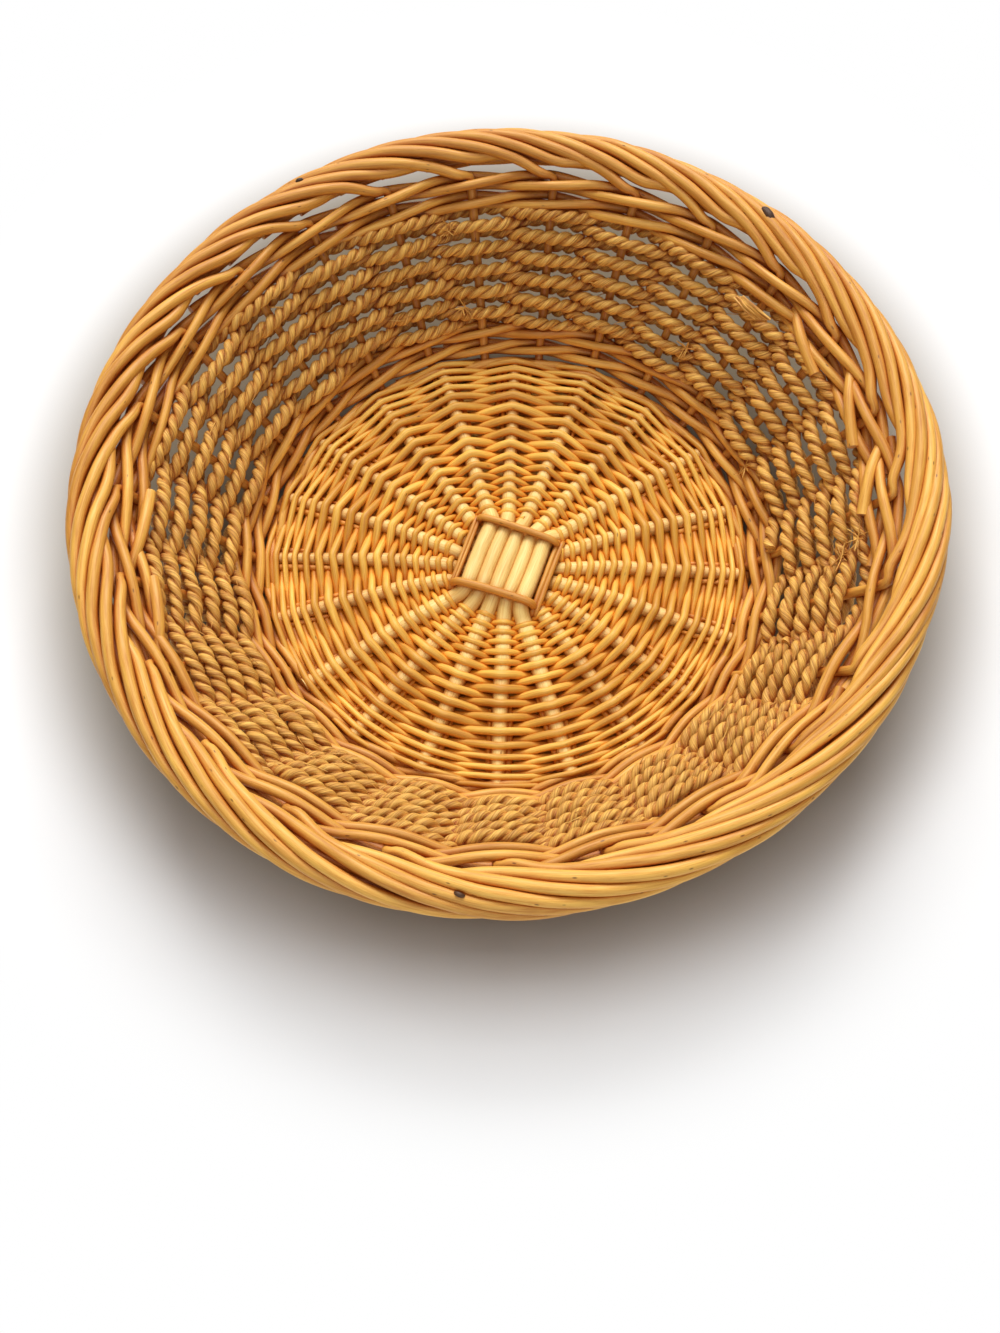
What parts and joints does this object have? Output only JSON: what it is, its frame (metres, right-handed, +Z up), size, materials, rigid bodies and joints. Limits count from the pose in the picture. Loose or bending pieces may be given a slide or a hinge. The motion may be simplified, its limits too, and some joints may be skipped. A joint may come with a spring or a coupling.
{
  "type": "round woven tray basket",
  "caption": "Round shallow tray basket with a flat woven willow base, a flared wall of seagrass rope on willow stakes and a thick rolled willow border.",
  "frame": {"origin": "centre of the bounding box's bottom face: on the axis of the round tray, on the surface that it stands on", "axes": "+Z up along the axis, the shortest way through the tray; +X to the right and +Y away from the viewer in the picture"},
  "size_m": [0.3586, 0.3589, 0.0854],
  "materials": {
    "peeled_willow": "pale peeled willow, satin",
    "base_willow": "honey-brown peeled willow, satin",
    "wall_willow": "honey-brown peeled willow, satin",
    "stake_willow": "honey-tan peeled willow, satin",
    "border_willow": "honey-tan peeled willow, satin",
    "seagrass": "dull twisted seagrass cord"
  },
  "bodies": {
    "root": {"base_stick_1": "peeled_willow", "base_stick_2": "peeled_willow", "base_stick_3": "peeled_willow", "base_stick_4": "peeled_willow", "base_stick_5": "peeled_willow", "cross_stick_1": "peeled_willow", "cross_stick_2": "peeled_willow", "cross_stick_3": "peeled_willow", "cross_stick_4": "peeled_willow", "cross_stick_5": "peeled_willow", "slath_tie_inner": "base_willow", "slath_tie_outer": "base_willow", "base_weaver_a": "base_willow", "base_weaver_b": "base_willow", "upsett_weaver_1": "wall_willow", "upsett_weaver_2": "wall_willow", "upsett_weaver_3": "wall_willow", "top_wale_weaver_1": "wall_willow", "top_wale_weaver_2": "wall_willow", "top_wale_weaver_3": "wall_willow", "stake_01": "stake_willow", "stake_02": "stake_willow", "stake_03": "stake_willow", "stake_04": "stake_willow", "stake_05": "stake_willow", "stake_06": "stake_willow", "stake_07": "stake_willow", "stake_08": "stake_willow", "stake_09": "stake_willow", "stake_10": "stake_willow", "stake_11": "stake_willow", "stake_12": "stake_willow", "stake_13": "stake_willow", "stake_14": "stake_willow", "stake_15": "stake_willow", "stake_16": "stake_willow", "stake_17": "stake_willow", "stake_18": "stake_willow", "stake_19": "stake_willow", "stake_20": "stake_willow", "stake_21": "stake_willow", "stake_22": "stake_willow", "stake_23": "stake_willow", "stake_24": "stake_willow", "stake_25": "stake_willow", "seagrass_rope": "seagrass", "border_core": "border_willow"}
  },
  "joints": []
}
